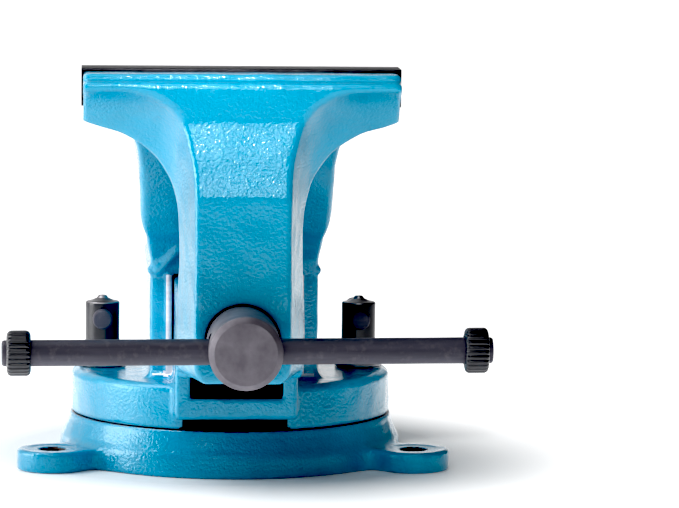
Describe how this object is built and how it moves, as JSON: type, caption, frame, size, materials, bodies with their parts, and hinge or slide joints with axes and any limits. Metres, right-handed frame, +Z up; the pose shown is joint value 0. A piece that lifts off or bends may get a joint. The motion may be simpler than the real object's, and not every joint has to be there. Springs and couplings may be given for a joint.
{
  "type": "bench vise",
  "caption": "Bench vise with a sliding jaw on a screw, steel jaw plates, a sliding handle bar and a swivel base with bolt-down lugs.",
  "frame": {"origin": "swivel axis on the underside of the base, at the bench surface", "axes": "+Z up, -Y towards the user and the nose of the screw, +X to the user's right"},
  "size_m": [0.2282, 0.381, 0.2049],
  "materials": {
    "blue_enamel": "glossy enamel over cast iron",
    "black_oxide": "black oxide, satin",
    "black_lacquer": "glossy black",
    "bare_steel": "turned steel",
    "bronze": "machined bronze"
  },
  "bodies": {
    "base": {"swivel_base": "blue_enamel"},
    "fixed_jaw": {"static_jaw_body": "blue_enamel", "rear_jaw_plate": "black_oxide", "rear_jaw_screw_left": "bare_steel", "rear_jaw_screw_right": "bare_steel", "spindle_nut": "bronze", "nut_bolt": "bare_steel", "lock_stud_left": "bare_steel", "lock_stud_right": "bare_steel", "lock_washer_left": "bare_steel", "lock_washer_right": "bare_steel"},
    "moving_jaw": {"dynamic_jaw": "blue_enamel", "front_jaw_plate": "black_oxide", "front_jaw_screw_left": "bare_steel", "front_jaw_screw_right": "bare_steel", "thrust_washer": "bronze"},
    "screw": {"spindle": "bare_steel", "retainer_spring": "bare_steel", "spring_washer": "bare_steel", "retainer_collar": "bare_steel", "retainer_pin": "bare_steel"},
    "handle": {"handle_bar": "black_oxide", "handle_knob_left": "black_lacquer", "handle_knob_right": "black_lacquer"},
    "lock_left": {"lock_nut_left": "black_lacquer"},
    "lock_right": {"lock_nut_right": "black_lacquer"},
    "lock_left_bar": {"lock_bar_left": "black_oxide"},
    "lock_right_bar": {"lock_bar_right": "black_oxide"}
  },
  "joints": [
    {"name": "base_swivel", "type": "hinge", "parent": "base", "child": "fixed_jaw", "pos_m": [0, 0, 0.0234], "axis": [0, 0, 1], "continuous": true},
    {"name": "jaw_slide", "type": "slide", "parent": "fixed_jaw", "child": "moving_jaw", "axis": [0, -1, 0], "range_m": [0, 0.144]},
    {"name": "spindle_spin", "type": "hinge", "parent": "moving_jaw", "child": "screw", "pos_m": [0, -0.19, 0.0787], "axis": [0, -1, 0], "range_deg": [0, 8640]},
    {"name": "handle_slide", "type": "slide", "parent": "screw", "child": "handle", "axis": [1, 0, 0.0087], "range_m": [-0.083, 0.081]},
    {"name": "lock_left_turn", "type": "hinge", "parent": "fixed_jaw", "child": "lock_left", "pos_m": [-0.0652, 0, 0.0484], "axis": [0, 0, 1], "range_deg": [-10, 180]},
    {"name": "lock_right_turn", "type": "hinge", "parent": "fixed_jaw", "child": "lock_right", "pos_m": [0.0652, 0, 0.0484], "axis": [0, 0, -1], "range_deg": [-10, 180]},
    {"name": "lock_left_bar_slide", "type": "slide", "parent": "lock_left", "child": "lock_left_bar", "axis": [0, -1, 0], "range_m": [0, 0.0275]},
    {"name": "lock_right_bar_slide", "type": "slide", "parent": "lock_right", "child": "lock_right_bar", "axis": [0, -1, 0], "range_m": [0, 0.0275]}
  ],
  "couplings": [
    {"joint": "jaw_slide", "follows": "spindle_spin", "m_per_rad": 0.00095493}
  ]
}
